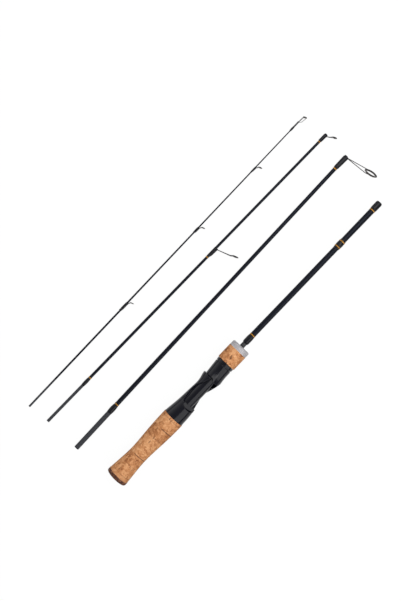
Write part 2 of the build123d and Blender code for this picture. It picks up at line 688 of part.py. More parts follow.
# ================================================================ laying out and writing
def lay_at(place, turn, roll, axis_height, rise=0.0):
    """Where a section's own frame lies: rolled about its axis, tilted, turned and moved."""
    return Pos(*place, axis_height) * Rot(0, 0, turn) * Rot(0, -rise, 0) * Rot(roll, 0, 0)


def section_places():
    """The place of each of the four sections, before the layout is centred."""
    return {"butt": lay_at(butt_place, butt_turn, seat_roll, cap_radius),
            "lower": lay_at(lower_place, lower_turn, 90 - lower_guide_lift, lower_rest),
            "upper": lay_at(upper_place, upper_turn, 90 - upper_guide_lift, upper_rest),
            "tip": lay_at(tip_place, tip_turn, 90 - tip_guide_lift, tip_rest, tip_rise)}


def centring(nodes):
    """The move that puts the origin under the middle of the layout, on the table."""
    boxes = [piece.bounding_box() for piece in nodes.values()]
    low = [min(getattr(box.min, axis) for box in boxes) for axis in "XYZ"]
    high = [max(getattr(box.max, axis) for box in boxes) for axis in "XYZ"]
    return Pos(-(low[0] + high[0]) / 2, -(low[1] + high[1]) / 2, -low[2])


def build():
    """Every node in the part's own frame."""
    sections = {"butt": butt_section(), "lower": lower_section(), "upper": upper_section(),
                "tip": tip_section()}
    places = section_places()
    nodes = {name: places[section] * piece
             for section, pieces in sections.items() for name, piece in pieces.items()}
    shift = centring(nodes)
    print("centred by", [round(value, 3) for value in shift.position])
    return {name: shift * piece for name, piece in nodes.items()}


os.makedirs("parts", exist_ok=True)
for name, piece in build().items():
    export_step(piece, f"parts/{name}.step")
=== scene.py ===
# %% [markdown]
# # A four-piece spinning rod, taken apart on a white table
# The rod packs for travel in four lengths: a butt section with cork grips and a black reel seat,
# and three thinner blanks that plug into one another and carry the line guides.  The shapes of
# all the pieces come ready made and measured.  What is left to do here is to give each one the
# surface it really has: cork, moulded plastic, carbon, varnished thread, steel and ceramic.
# The work goes in this order: the camera, the table and the light, the shared effects, and the
# finishes.  Only the gold trim bands are made anew, because they are wound from a finer thread
# than the measured ones show.

# %% Load the measured rod
import json
import math

import bpy
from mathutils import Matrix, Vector


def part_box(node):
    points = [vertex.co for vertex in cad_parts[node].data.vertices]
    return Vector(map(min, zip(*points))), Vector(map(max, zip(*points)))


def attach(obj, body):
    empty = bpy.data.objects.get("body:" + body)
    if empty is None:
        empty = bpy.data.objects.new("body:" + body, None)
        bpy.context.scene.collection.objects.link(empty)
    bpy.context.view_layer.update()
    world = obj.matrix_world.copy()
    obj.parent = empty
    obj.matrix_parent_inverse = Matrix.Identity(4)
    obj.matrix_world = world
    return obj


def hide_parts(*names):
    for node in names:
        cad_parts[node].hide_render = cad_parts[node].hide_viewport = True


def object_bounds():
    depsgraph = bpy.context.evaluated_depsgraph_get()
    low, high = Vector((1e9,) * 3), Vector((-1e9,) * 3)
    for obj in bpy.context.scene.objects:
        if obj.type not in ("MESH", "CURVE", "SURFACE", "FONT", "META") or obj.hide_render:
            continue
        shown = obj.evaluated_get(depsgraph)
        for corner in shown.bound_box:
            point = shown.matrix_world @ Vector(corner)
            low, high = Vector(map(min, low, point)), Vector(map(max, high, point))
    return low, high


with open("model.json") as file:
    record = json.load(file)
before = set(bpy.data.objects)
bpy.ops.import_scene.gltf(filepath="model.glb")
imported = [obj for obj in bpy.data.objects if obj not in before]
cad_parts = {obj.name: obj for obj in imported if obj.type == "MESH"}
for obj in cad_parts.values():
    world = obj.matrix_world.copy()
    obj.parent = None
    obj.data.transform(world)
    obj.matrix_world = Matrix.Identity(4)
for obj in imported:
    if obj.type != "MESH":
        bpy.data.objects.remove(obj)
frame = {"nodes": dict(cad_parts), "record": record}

nodes = frame["nodes"]
rod_low, rod_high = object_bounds()
print("measured rod:", len(nodes), "pieces,",
      " x ".join(f"{(b - a) * 1000:.0f}" for a, b in zip(rod_low, rod_high)), "mm")

# %% [markdown]
# ## Where each section lies
# Each of the four lengths has its own axis, turned a little from the others.  The record keeps
# the ferrules as mounts, with a place and a direction.  A section's own frame starts in the
# middle of its ferrule, with X along the blank, so a pattern that goes round or along the blank
# can be worked out in that frame.

# %% A frame for each section
mounts = {mount["name"]: mount for mount in frame["record"]["mounts"]}


def section_frame(mount_name, sign):
    """The place and the turning of a section's own axis, from one of its ferrule mounts."""
    mount = mounts[mount_name]
    along = Vector(mount["axis"]) * sign
    turning = along.to_track_quat("X", "Z").to_euler()
    return Vector(mount["pos_m"]), turning


section_frames = {"butt": section_frame("butt_socket", 1),
                  "lower": section_frame("lower_spigot", -1),
                  "upper": section_frame("upper_spigot", -1),
                  "tip": section_frame("tip_spigot", -1)}
for section, (place, turning) in section_frames.items():
    print(section, "axis through", [round(c, 4) for c in place],
          "turned", round(math.degrees(turning.z), 2), "degrees")

# %% [markdown]
# ## The camera
# The rod is seen from straight above, with the sections running up to the right.  A camera that
# looks down its own -Z needs no aiming: it is enough to lift it over the table and turn it about
# the vertical.  The lens is a little longer than normal, and it stands about a metre up, so the
# ends of the rod keep nearly the same scale as the middle.

# %% Set up the camera
camera_height = 1.05                    # metres above the table
camera_past_cap, camera_beside_cap = 0.2320, 0.0767     # metres along X and along Y
camera_turn = math.radians(-46.2)
camera_lens, sensor_long_side = 49.836938, 36           # millimetres
cap_low, cap_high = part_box("butt_cap")

camera_data = bpy.data.cameras.new("overhead_camera")
camera_data.sensor_width = sensor_long_side
camera_data.lens = camera_lens
camera_data.clip_start, camera_data.clip_end = 0.05, 20
camera = bpy.data.objects.new("overhead_camera", camera_data)
camera.location = (cap_low.x + camera_past_cap,
                   (cap_low.y + cap_high.y) / 2 + camera_beside_cap, camera_height)
camera.rotation_euler = (0, 0, camera_turn)
bpy.context.scene.collection.objects.link(camera)
bpy.context.scene.camera = camera
print("camera over", [round(c, 4) for c in camera.location], "lens", round(camera_lens, 2), "mm")

# %% [markdown]
# ## Small helpers for shader nodes
# A finish is easier to read when each node takes one line.  The first helper sets a node's
# options, fills its sockets with plain values, or links a socket when it is given another node's
# output.  The second starts a material, and the third links what was built to its shader.

# %% Helpers that add nodes and make materials
def add(tree, kind, sockets=None, **options):
    """One shader node: options are its settings, sockets its values or links."""
    made = tree.nodes.new("ShaderNode" + kind)
    for option, value in options.items():
        setattr(made, option, value)
    for name, value in (sockets or {}).items():
        if isinstance(value, bpy.types.NodeSocket):
            tree.links.new(value, made.inputs[name])
        else:
            made.inputs[name].default_value = value
    return made


def socket_title(word):
    """A shader socket's name from a Python word: base_color stands for Base Color."""
    return word.replace("_", " ").title().replace("Ior", "IOR")


def new_finish(name, **constants):
    """A material with one Principled BSDF, and its plain values set on the shader itself."""
    material = bpy.data.materials.new(name)
    material.use_nodes = True
    tree = material.node_tree
    tree.nodes.clear()
    shader = add(tree, "BsdfPrincipled")
    for word, value in constants.items():
        shader.inputs[socket_title(word)].default_value = value
    add(tree, "OutputMaterial", {"Surface": shader.outputs["BSDF"]})
    return material, tree, shader


def feed(tree, shader, **sources):
    """Link the outputs of other nodes to a shader's sockets."""
    for word, source in sources.items():
        tree.links.new(source, shader.inputs[socket_title(word)])


def paint(names, material):
    """Give some pieces of the measured rod a finish."""
    for name in names:
        for slot in nodes[name].material_slots:
            slot.material = material
    print(material.name, "on", len(names), "pieces")


print("materials can be started and given to pieces")

# %% [markdown]
# A few kinds of node come back in nearly every finish, and each gets a helper of its own:
# arithmetic, a move from one range of numbers to another, noise, colours picked, mixed or
# stained, and a bump.  Places are in metres, so the scale of a pattern is about how many times
# it comes in a metre.

# %% Helpers for the nodes that come back often
def object_place(tree):
    """The point being shaded, in metres, in the frame of the piece."""
    return add(tree, "TexCoord").outputs["Object"]


def axis_part(tree, vector, axis):
    """The X, the Y or the Z of a vector."""
    return add(tree, "SeparateXYZ", {0: vector}).outputs[axis]


def stretched(tree, place, factors):
    """A place with each axis multiplied by its own factor."""
    return add(tree, "VectorMath", {0: place, 1: factors}, operation="MULTIPLY").outputs[0]


def maths(tree, operation, a, b=None):
    """The result of one Math node."""
    sockets = {0: a} if b is None else {0: a, 1: b}
    return add(tree, "Math", sockets, operation=operation).outputs[0]


def remap(tree, value, given=(0.0, 1.0), wanted=(0.0, 1.0)):
    """A value moved from one range to another and held inside it."""
    return add(tree, "MapRange", {"Value": value, "From Min": given[0], "From Max": given[1],
                                  "To Min": wanted[0], "To Max": wanted[1]}).outputs["Result"]


def noise(tree, place, scale, detail, roughness=0.5):
    """A cloudy noise from 0 to 1."""
    return add(tree, "TexNoise", {"Vector": place, "Scale": scale, "Detail": detail,
                                  "Roughness": roughness}).outputs["Fac"]


def ramp(tree, value, stops, interpolation="LINEAR"):
    """A colour picked by a value from (position, colour) stops; one number means a grey."""
    made = add(tree, "ValToRGB", {"Fac": value})
    made.color_ramp.interpolation = interpolation
    elements = made.color_ramp.elements
    while len(elements) < len(stops):
        elements.new(0.5)
    for element, (position, colour) in zip(elements, stops):
        element.position = position
        element.color = (*colour, 1) if isinstance(colour, tuple) else (colour,) * 3 + (1,)
    return made.outputs["Color"]


def mix_colour(tree, share, first, second, blend="MIX"):
    """Two colours mixed by a share from 0 to 1."""
    first, second = ((*colour, 1) if isinstance(colour, tuple) else colour
                     for colour in (first, second))
    return add(tree, "Mix", {0: share, 6: first, 7: second}, data_type="RGBA",
               blend_type=blend).outputs[2]


def stained(tree, colour, mask, stain, share):
    """A colour that goes over to a stain where a mask is on, by a share at most."""
    return mix_colour(tree, maths(tree, "MULTIPLY", mask, share), colour, stain)


def bumped(tree, height, strength, depth, normal=None):
    """The normal of a skin that a height moves in and out, over a depth in metres."""
    sockets = {"Strength": strength, "Distance": depth, "Height": height}
    if normal is not None:
        sockets["Normal"] = normal
    return add(tree, "Bump", sockets).outputs["Normal"]


print("helpers ready")

# %% [markdown]
# ## The table
# The rod lies on a clean white table.  The cloth or card of a real one is a plain diffuse white
# that goes a little dark right under each piece.  The eye, and what is mirrored in metal or
# varnish, should meet a clean white.  So for camera, glossy and transmission rays most of the
# white is a glow of the surface itself.  The small rest is plain reflected light, which keeps the
# soft shadow that the pieces throw, with a very fine grain so that it isn't one flat tone.

# %% Make the table
table_half = 4.0                        # metres
table_gap = 0.0004                      # metres between the table top and the rod's lowest point
table_greys = [(0.0, 0.055), (1.0, 0.065)]
table_glow = 0.95

table_mesh = bpy.data.meshes.new("table_top")
table_mesh.from_pydata([(-table_half, -table_half, 0), (table_half, -table_half, 0),
                        (table_half, table_half, 0), (-table_half, table_half, 0)],
                       [], [(0, 1, 2, 3)])
table_top = bpy.data.objects.new("table_top", table_mesh)
table_top.location.z = rod_low.z - table_gap
bpy.context.scene.collection.objects.link(table_top)

table_white, tree, shader = new_finish("table_white", roughness=0.9, specular_ior_level=0.0)
grain = noise(tree, object_place(tree), scale=900.0, detail=3.0)
feed(tree, shader, base_color=ramp(tree, grain, table_greys))
rays = add(tree, "LightPath")
seen = maths(tree, "MAXIMUM", rays.outputs["Is Camera Ray"],
             maths(tree, "MAXIMUM", rays.outputs["Is Glossy Ray"],
                   rays.outputs["Is Transmission Ray"]))
glow = add(tree, "Emission", {"Color": (1, 1, 1, 1),
                              "Strength": maths(tree, "MULTIPLY", seen, table_glow)})
both = add(tree, "AddShader", {0: shader.outputs["BSDF"], 1: glow.outputs["Emission"]})
output = next(n for n in tree.nodes if n.type == "OUTPUT_MATERIAL")
feed(tree, output, surface=both.outputs[0])
table_mesh.materials.append(table_white)
print("table at", round(table_top.location.z * 1000, 2), "mm")

# %% [markdown]
# ## The light
# Product light is soft and plain.  The room is an even pale grey overhead, as around a copy
# stand, so black plastic and varnish don't mirror a white ceiling.  It gets darker low down on
# the reel side, and brighter low down towards a white wall on the far side, which keeps that
# side of the cork from going dark.  The camera itself sees a plain white backdrop.

# %% Light the room
reel_side_grey, overhead_grey = 0.2, 0.42
wall_white, wall_power = 1.3, 4.0       # a higher power keeps the white wall lower down

world = bpy.data.worlds.new("plain_room")
world.use_nodes = True
tree = world.node_tree
tree.nodes.clear()
toward_wall = axis_part(tree, add(tree, "TexCoord").outputs["Generated"], "Y")
room_grey = remap(tree, toward_wall, (-1.0, 0.0), (reel_side_grey, overhead_grey))
wall = maths(tree, "POWER", maths(tree, "MAXIMUM", toward_wall, 0.0), wall_power)
level = maths(tree, "ADD", room_grey, maths(tree, "MULTIPLY", wall, wall_white))
seen = add(tree, "LightPath").outputs["Is Camera Ray"]
backdrop = add(tree, "Mix", {0: seen, 2: level, 3: 1.0}, data_type="FLOAT")
room = add(tree, "Background", {"Color": (1, 1, 1, 1), "Strength": backdrop.outputs[0]})
add(tree, "OutputWorld", {"Surface": room.outputs["Background"]})
bpy.context.scene.world = world
bpy.context.scene.view_settings.view_transform = "Standard"
print("room from", reel_side_grey, "through", overhead_grey, "to",
      round(overhead_grey + wall_white, 2))

# %% [markdown]
# Two soft boxes do the shaping.  One stands on the reel side of the rod, half way down from
# overhead, and draws the flat bright band along the handle.  The other hangs overhead, out past
# the tips, where it lays the same soft line along the middle of the far blanks.  Together with
# the room they light a level surface about as brightly as its own colour is written.

# %% Hang the soft boxes
middle = (rod_low + rod_high) / 2
box_distance = 1.3                      # metres from the middle of the rod


def soft_box(name, size, watts, past_middle, angle):
    """A soft box over the rod, swung down by an angle from overhead towards the reel side."""
    data = bpy.data.lights.new(name, "AREA")
    data.shape = "RECTANGLE"
    data.size, data.size_y = size
    data.energy = watts
    lamp = bpy.data.objects.new(name, data)
    lamp.location = (middle.x + past_middle, middle.y - box_distance * math.sin(angle),
                     box_distance * math.cos(angle))
    lamp.rotation_euler = (angle, 0, 0)
    bpy.context.scene.collection.objects.link(lamp)
    print(name, "at", [round(c, 3) for c in lamp.location])


soft_box("side_soft_box", (1.0, 1.5), watts=9.9, past_middle=-0.15, angle=math.radians(44))
soft_box("overhead_soft_box", (0.7, 1.5), watts=9.0, past_middle=0.6, angle=0.0)

# %% [markdown]
# ## Shared effects
# Some marks show up on more than one surface: the fine ribs of wound thread, rubbed edges, the
# grain of cork, a moulded or ground skin.  Each is built once as a node group with named inputs
# and outputs.  A group only puts out masks, tones and heights.  The material that uses it
# decides what they do to the colour, the roughness and the bump.

# %% Helpers that start a node group and use it
def new_effect(name, inputs, outputs):
    """An empty shader node group, with its sockets and its input and output nodes."""
    group = bpy.data.node_groups.new(name, "ShaderNodeTree")
    for label, kind, value in inputs:
        socket = group.interface.new_socket(label, in_out="INPUT",
                                            socket_type="NodeSocket" + kind)
        if kind == "Float":
            socket.default_value = value
    for label in outputs:
        group.interface.new_socket(label, in_out="OUTPUT", socket_type="NodeSocketFloat")
    given = group.nodes.new("NodeGroupInput").outputs
    made = group.nodes.new("NodeGroupOutput").inputs
    return group, given, made


def put_out(group, made, **results):
    """Link what a group worked out to its outputs, and print its sockets."""
    for label, result in results.items():
        group.links.new(result, made[label])
    print(group.name, [item.name for item in group.interface.items_tree])


def effect(tree, group, sockets):
    """A node group placed in a material, with its own values or links."""
    return add(tree, "Group", sockets, node_tree=group).outputs


print("effects can be built")

# %% [markdown]
# ### Cork grain
# Cork is bark.  Its cells are too small to see, but it has a soft mottled tone, fine dark
# freckles, and pores that were filled with brown dust when the ring was cut.  The pores run
# through the bark, so on a grip they show as short streaks along the rod.  Two noises and a cell
# pattern that gives each cell its own tone make the mottling.  A second cell pattern, stretched
# along X and bent a little by a noise, makes the pores: only cells with a high random number
# keep theirs.

# %% Build the cork grain
cork_grain, given, made = new_effect(
    "cork_grain", [("Place", "Vector", None), ("Grain scale", "Float", 620.0),
                   ("Pore amount", "Float", 0.5)], ["Tone", "Pores", "Height"])
patch_share, mottle_share, cell_share = 0.25, 0.5, 0.25     # they add up to 1
pore_stretch = (0.34, 1.0, 1.0)         # X is squeezed, so a pore is three times as long
pore_wobble = 0.0012                    # metres
pore_core, pore_rim = 0.12, 0.3         # distances from the middle of a cell
pore_depth = 1.5                        # against the mottling, whose height is 1

patches = noise(cork_grain, given["Place"], scale=75.0, detail=2.0)
mottle = noise(cork_grain, given["Place"], given["Grain scale"], detail=5.0, roughness=0.65)
cells = add(cork_grain, "TexVoronoi", {"Vector": given["Place"], "Scale": 330.0})
cell_tone = axis_part(cork_grain, cells.outputs["Color"], "X")
fine_tone = maths(cork_grain, "ADD", maths(cork_grain, "MULTIPLY", mottle, mottle_share),
                  maths(cork_grain, "MULTIPLY", cell_tone, cell_share))
tone = maths(cork_grain, "ADD", maths(cork_grain, "MULTIPLY", patches, patch_share), fine_tone)

wobble = add(cork_grain, "TexNoise", {"Vector": given["Place"], "Scale": 500.0, "Detail": 2.0})
small_wobble = add(cork_grain, "VectorMath", {0: wobble.outputs["Color"], 3: pore_wobble},
                   operation="SCALE")
bent = add(cork_grain, "VectorMath", {0: stretched(cork_grain, given["Place"], pore_stretch),
                                      1: small_wobble.outputs[0]}, operation="ADD")
pores = add(cork_grain, "TexVoronoi", {"Vector": bent.outputs[0], "Scale": 300.0})
pore_chance = axis_part(cork_grain, pores.outputs["Color"], "X")
chosen = maths(cork_grain, "GREATER_THAN", pore_chance,
               maths(cork_grain, "SUBTRACT", 1.0, given["Pore amount"]))
pore_shape = remap(cork_grain, pores.outputs["Distance"], (pore_core, pore_rim), (1.0, 0.0))
pore_mask = maths(cork_grain, "MULTIPLY", pore_shape, chosen)
deep = maths(cork_grain, "SUBTRACT", tone,
             maths(cork_grain, "MULTIPLY", pore_mask, pore_depth))
put_out(cork_grain, made, Tone=tone, Pores=pore_mask, Height=deep)

# %% [markdown]
# ### Wound thread
# A guide is bound to the blank with one fine thread, laid turn against turn.  The turns lie so
# close to square across the blank that plain ribs across X are as good as a true helix.  The
# absolute value of a sine gives round ribs with a sharp valley between them.

# %% Build the wound thread
wound_thread, given, made = new_effect(
    "wound_thread", [("Place", "Vector", None), ("Turns per metre", "Float", 5000.0)],
    ["Rib", "Valley"])
valley_power = 3.0                      # a higher power makes a narrower valley

turn = maths(wound_thread, "MULTIPLY", axis_part(wound_thread, given["Place"], "X"),
             given["Turns per metre"])
rib = maths(wound_thread, "ABSOLUTE",
            maths(wound_thread, "SINE", maths(wound_thread, "MULTIPLY", turn, math.pi)))
valley = maths(wound_thread, "POWER", maths(wound_thread, "SUBTRACT", 1.0, rib), valley_power)
put_out(wound_thread, made, Rib=rib, Valley=valley)

# %% [markdown]
# ### Rubbed and lit edges
# Edges that a hand, a reel foot or the next section touches go smooth and pale first, and the
# rounded edges of moulded plastic and turned metal catch a thin line of light.  One mask serves
# both: real wear on the guide wire, and a painted highlight along the edges of the reel seat and
# the end ring.  The Bevel node gives the normal that a rounded edge would have.  Where it leans
# away from the true normal there is an edge, and a noise breaks the line up so that it isn't
# even.

# %% Build the rubbed and lit edges
edge_wear_and_glint, given, made = new_effect(
    "edge_wear_and_glint", [("Place", "Vector", None), ("Patch scale", "Float", 300.0),
                 ("Edge width", "Float", 0.0004)], ["Rub"])
bevel_samples = 6
lean_start, lean_full = 0.99, 0.85      # cosines of about 8 and 32 degrees

rounded = add(edge_wear_and_glint, "Bevel", {"Radius": given["Edge width"]}, samples=bevel_samples)
plain = add(edge_wear_and_glint, "NewGeometry")
lean = add(edge_wear_and_glint, "VectorMath", {0: rounded.outputs["Normal"], 1: plain.outputs["Normal"]},
           operation="DOT_PRODUCT").outputs["Value"]
edge = remap(edge_wear_and_glint, lean, (lean_start, lean_full))
breaks = noise(edge_wear_and_glint, given["Place"], given["Patch scale"], detail=3.0)
open_patch = remap(edge_wear_and_glint, breaks, (0.4, 0.65))
put_out(edge_wear_and_glint, made, Rub=maths(edge_wear_and_glint, "MULTIPLY", edge, open_patch))

# %% [markdown]
# ### Fine skin
# Moulded plastic, ground carbon and drawn wire all have a skin that is fine but not perfect: a
# tiny grain, broad faint clouds where the surface was handled, and a few hair scratches along X.
# One group gives all three, and each material picks how much of each it wants.

# %% Build the fine skin
fine_skin, given, made = new_effect(
    "fine_skin", [("Place", "Vector", None), ("Grain scale", "Float", 3000.0),
                  ("Cloud scale", "Float", 60.0)], ["Grain", "Clouds", "Scratches"])
scratch_scales = (60.0, 2400.0, 2400.0)     # forty times as long as they are wide

grain = noise(fine_skin, given["Place"], given["Grain scale"], detail=2.0)
clouds = noise(fine_skin, given["Place"], given["Cloud scale"], detail=4.0, roughness=0.6)
lines = noise(fine_skin, stretched(fine_skin, given["Place"], scratch_scales), scale=1.0,
              detail=1.0)
put_out(fine_skin, made, Grain=grain, Clouds=clouds,
        Scratches=remap(fine_skin, lines, (0.7, 0.78)))

# %% [markdown]
# ### Taped blank
# A carbon blank is rolled on a steel mandrel and bound with shrinking tape while it cures.
# When the tape comes off it leaves a shallow spiral step every couple of millimetres.  In the
# section's own frame the angle round the axis and the distance along it, added together, make
# that spiral.  The tows of carbon under the paint are a noise drawn out along X.

# %% Build the taped blank
taped_blank, given, made = new_effect(
    "taped_blank", [("Place", "Vector", None), ("Turns per metre", "Float", 450.0)],
    ["Step", "Tow"])
tow_scales = (90.0, 1500.0, 1500.0)

round_axis = maths(taped_blank, "ARCTAN2", axis_part(taped_blank, given["Place"], "Z"),
                   axis_part(taped_blank, given["Place"], "Y"))
part_turn = maths(taped_blank, "DIVIDE", round_axis, 2 * math.pi)
whole_turns = maths(taped_blank, "MULTIPLY", axis_part(taped_blank, given["Place"], "X"),
                    given["Turns per metre"])
step = maths(taped_blank, "FRACT", maths(taped_blank, "ADD", part_turn, whole_turns))
tow = noise(taped_blank, stretched(taped_blank, given["Place"], tow_scales), scale=1.0,
            detail=2.0)
put_out(taped_blank, made, Step=step, Tow=tow)

# %% [markdown]
# ## Cork
# The rear grip is a stack of cork rings glued face to face and turned to shape as one.  Most of
# the glue lines close up so well that they can't be seen, and one or two stay as thin dark
# lines.  Each ring comes from another piece of bark, so it has a tone of its own.  Both follow
# from the distance behind the short front ring: it is divided by a ring's length, the whole part
# numbers the ring, and the rest tells how near the next joint is.  A slow noise keeps a glue
# line open only part of the way round.  The last ring goes browner towards the butt.

# %% Make the cork of the rear grip
bark_tones = [(0.32, (0.31, 0.11, 0.036)), (0.5, (0.57, 0.25, 0.1)), (0.68, (0.74, 0.385, 0.18))]
pore_dust, butt_end_brown, glue_brown = (0.13, 0.05, 0.021), (0.36, 0.15, 0.07), (0.07, 0.03, 0.018)
ring_count = 8
joint_depths = [(0.0, 0.35), (0.09, 1.0), (0.2, 0.25), (0.32, 0.2), (0.45, 0.95), (0.58, 0.15),
                (0.7, 0.3)]             # by the joint's number, divided by the ring count
joint_core, joint_edge = 0.0003, 0.0007     # metres from the middle of a glue line
glue_depth = 0.6                            # against the mottling, as for the pores
tone_spread = 0.12                          # from the palest ring to the darkest
cork_bump, cork_depth = 0.35, 0.0003        # strength, and depth in metres

ring_names = [f"cork_ring_{number}" for number in range(1, ring_count + 1)]
ring_low, ring_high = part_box("cork_ring_3")
ring_length = ring_high.x - ring_low.x
back_low, back_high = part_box(ring_names[0])
front_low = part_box(ring_names[-1])[0]

grip_cork, tree, shader = new_finish("grip_cork", roughness=0.72, specular_ior_level=0.25)
place = object_place(tree)
grain = effect(tree, cork_grain, {"Place": place, "Grain scale": 620.0, "Pore amount": 0.34})
behind_front = maths(tree, "SUBTRACT", front_low.x, axis_part(tree, place, "X"))
in_rings = maths(tree, "DIVIDE", behind_front, ring_length)

to_joint = maths(tree, "MULTIPLY", maths(tree, "PINGPONG", in_rings, 0.5), ring_length)
joint_line = remap(tree, to_joint, (joint_core, joint_edge), (1.0, 0.0))
joint_number = maths(tree, "DIVIDE", maths(tree, "ROUND", in_rings), float(ring_count))
joint_depth = ramp(tree, joint_number, joint_depths, "CONSTANT")
open_share = remap(tree, noise(tree, place, scale=45.0, detail=2.0), (0.44, 0.52), (0.12, 1.0))
joint = maths(tree, "MULTIPLY", maths(tree, "MULTIPLY", joint_line, open_share), joint_depth)

ring_random = add(tree, "TexWhiteNoise", {"W": maths(tree, "FLOOR", in_rings)},
                  noise_dimensions="1D").outputs["Value"]
ring_shift = maths(tree, "MULTIPLY", maths(tree, "SUBTRACT", ring_random, 0.5), tone_spread)
bark = ramp(tree, maths(tree, "ADD", grain["Tone"], ring_shift), bark_tones)
with_pores = stained(tree, bark, grain["Pores"], pore_dust, share=0.75)
# the last ring goes browner towards the butt end
toward_butt = remap(tree, behind_front, (front_low.x - back_high.x, front_low.x - back_low.x),
             (0.0, 0.28))
butt_browned = mix_colour(tree, toward_butt, with_pores, butt_end_brown)
glued = stained(tree, butt_browned, joint, glue_brown, share=0.85)
height = maths(tree, "SUBTRACT", grain["Height"], maths(tree, "MULTIPLY", joint, glue_depth))
feed(tree, shader, base_color=glued, normal=bumped(tree, height, cork_bump, cork_depth),
     roughness=remap(tree, grain["Tone"], wanted=(0.82, 0.58)))
paint(ring_names, grip_cork)

# %% [markdown]
# The foregrip is one short piece of bark, so it keeps the grain and has no joints.  Its grain is
# a little coarser, and its pores are more and darker.

# %% Make the cork of the foregrip
dark_pore_dust = (0.07, 0.025, 0.012)

fore_cork, tree, shader = new_finish("fore_cork", roughness=0.72, specular_ior_level=0.25)
place = object_place(tree)
grain = effect(tree, cork_grain, {"Place": place, "Grain scale": 430.0, "Pore amount": 0.5})
bark = ramp(tree, grain["Tone"], bark_tones)
with_pores = stained(tree, bark, grain["Pores"], dark_pore_dust, share=0.95)
feed(tree, shader, base_color=with_pores,
     normal=bumped(tree, grain["Height"], cork_bump, cork_depth))
paint(["foregrip_cork"], fore_cork)

# %% [markdown]
# ## The butt cap
# The end of a grip knocks on stones, so it is capped with a denser, darker cork: crumbs of
# cork pressed together with brown rubber.  A cell pattern makes the crumbs.  Each takes its own
# brown, and the rubber between them is a little lower and nearly black.

# %% Make the crumb cork of the butt cap
crumb_scale = 520.0                     # crumbs in a metre
crumb_browns = [(0.0, (0.05, 0.015, 0.007)), (0.55, (0.105, 0.034, 0.015)),
                (0.85, (0.17, 0.062, 0.029)), (1.0, (0.3, 0.13, 0.062))]
rubber_brown = (0.04, 0.018, 0.012)

crumb_cork, tree, shader = new_finish("crumb_cork", roughness=0.6, specular_ior_level=0.3)
place = object_place(tree)
crumbs = add(tree, "TexVoronoi", {"Vector": place, "Scale": crumb_scale})
seams = add(tree, "TexVoronoi", {"Vector": place, "Scale": crumb_scale},
            feature="DISTANCE_TO_EDGE").outputs["Distance"]
brown = ramp(tree, axis_part(tree, crumbs.outputs["Color"], "Y"), crumb_browns)
between = remap(tree, seams, (0.02, 0.12), (1.0, 0.0))
rubber = stained(tree, brown, between, rubber_brown, share=0.6)
skin = effect(tree, fine_skin, {"Place": place})
feed(tree, shader, base_color=rubber, normal=bumped(tree, seams, strength=0.4, depth=0.0002),
     roughness=remap(tree, skin["Clouds"], wanted=(0.5, 0.75)))
paint(["butt_cap"], crumb_cork)

# %% [markdown]
# ## The reel seat
# The seat and its hood are moulded in black plastic with a satin skin.  Black plastic is mostly
# about its highlights: the base is nearly black, and a fine grain in the bump spreads the light
# of the soft boxes into a soft line.  The grain starts from the normal of a Bevel node, so sharp
# moulded edges shade as if they were rounded by a fraction of a millimetre.  Broad clouds shift
# the roughness where hands and reel feet rub.  The edges are painted a dark grey, a painted
# highlight for the thin line of light that the rounded edges catch.

# %% Make the black plastic
glint_edge_width = 0.0009                      # metres, the width of the painted edge highlight
edge_highlight_grey, scratch_grey = (0.1, 0.102, 0.112), (0.04, 0.041, 0.046)
moulded_radius, moulded_grain = 0.0007, 0.00005     # metres
cloud_pale = 2.2                        # how much paler the base colour gets under a cloud


def black_plastic(name, base, roughness, grain_strength):
    """A moulded black plastic: its base colour, its roughness and the strength of its grain."""
    finish, tree, shader = new_finish(name, roughness=roughness, ior=1.32)
    place = object_place(tree)
    skin = effect(tree, fine_skin, {"Place": place, "Grain scale": 2600.0, "Cloud scale": 90.0})
    edge_mask = effect(tree, edge_wear_and_glint, {"Place": place, "Edge width": glint_edge_width})["Rub"]
    pale = tuple(channel * cloud_pale for channel in base)
    cloudy = mix_colour(tree, skin["Clouds"], base, pale)
    # painted highlight: the edges go over to a dark grey
    edge_lit = stained(tree, cloudy, edge_mask, edge_highlight_grey, share=0.6)
    scratched = stained(tree, edge_lit, skin["Scratches"], scratch_grey, share=0.35)
    rounded = add(tree, "Bevel", {"Radius": moulded_radius}, samples=bevel_samples)
    feed(tree, shader, base_color=scratched,
         roughness=remap(tree, skin["Clouds"], (0.3, 0.7), (roughness - 0.03, roughness + 0.06)),
         normal=bumped(tree, skin["Grain"], grain_strength, moulded_grain,
                       normal=rounded.outputs["Normal"]))
    return finish


seat_black = black_plastic("seat_black", (0.0018, 0.0019, 0.0044), roughness=0.14,
                           grain_strength=0.1)
paint(["reel_seat_body", "moving_hood"], seat_black)
inner_black = black_plastic("inner_black", (0.006, 0.006, 0.007), roughness=0.5,
                            grain_strength=0.5)
paint(["foregrip_nut", "rear_arbor", "front_arbor"], inner_black)

# %% [markdown]
# ## The bright end ring
# A ring of aluminium closes the foregrip.  It is turned, lightly blasted and anodised, so it
# is a soft pale grey and not a mirror: the shader is only half metallic, and rough.  The lathe
# still leaves very fine rings.  A noise that only changes along X draws them, and the same noise
# shifts the roughness.

# %% Make the turned aluminium
lathe_scale = 14000.0                   # about fourteen lathe lines in a millimetre
silver_greys = [(0.3, (0.36, 0.345, 0.36)), (0.7, (0.52, 0.505, 0.52))]
edge_highlight_silver = (0.95, 0.94, 0.95)

turned_metal, tree, shader = new_finish("turned_aluminium", metallic=0.5, roughness=0.6)
place = object_place(tree)
along = maths(tree, "MULTIPLY", axis_part(tree, place, "X"), lathe_scale)
lathe = add(tree, "TexNoise", {"W": along, "Scale": 1.0, "Detail": 3.0},
            noise_dimensions="1D").outputs["Fac"]
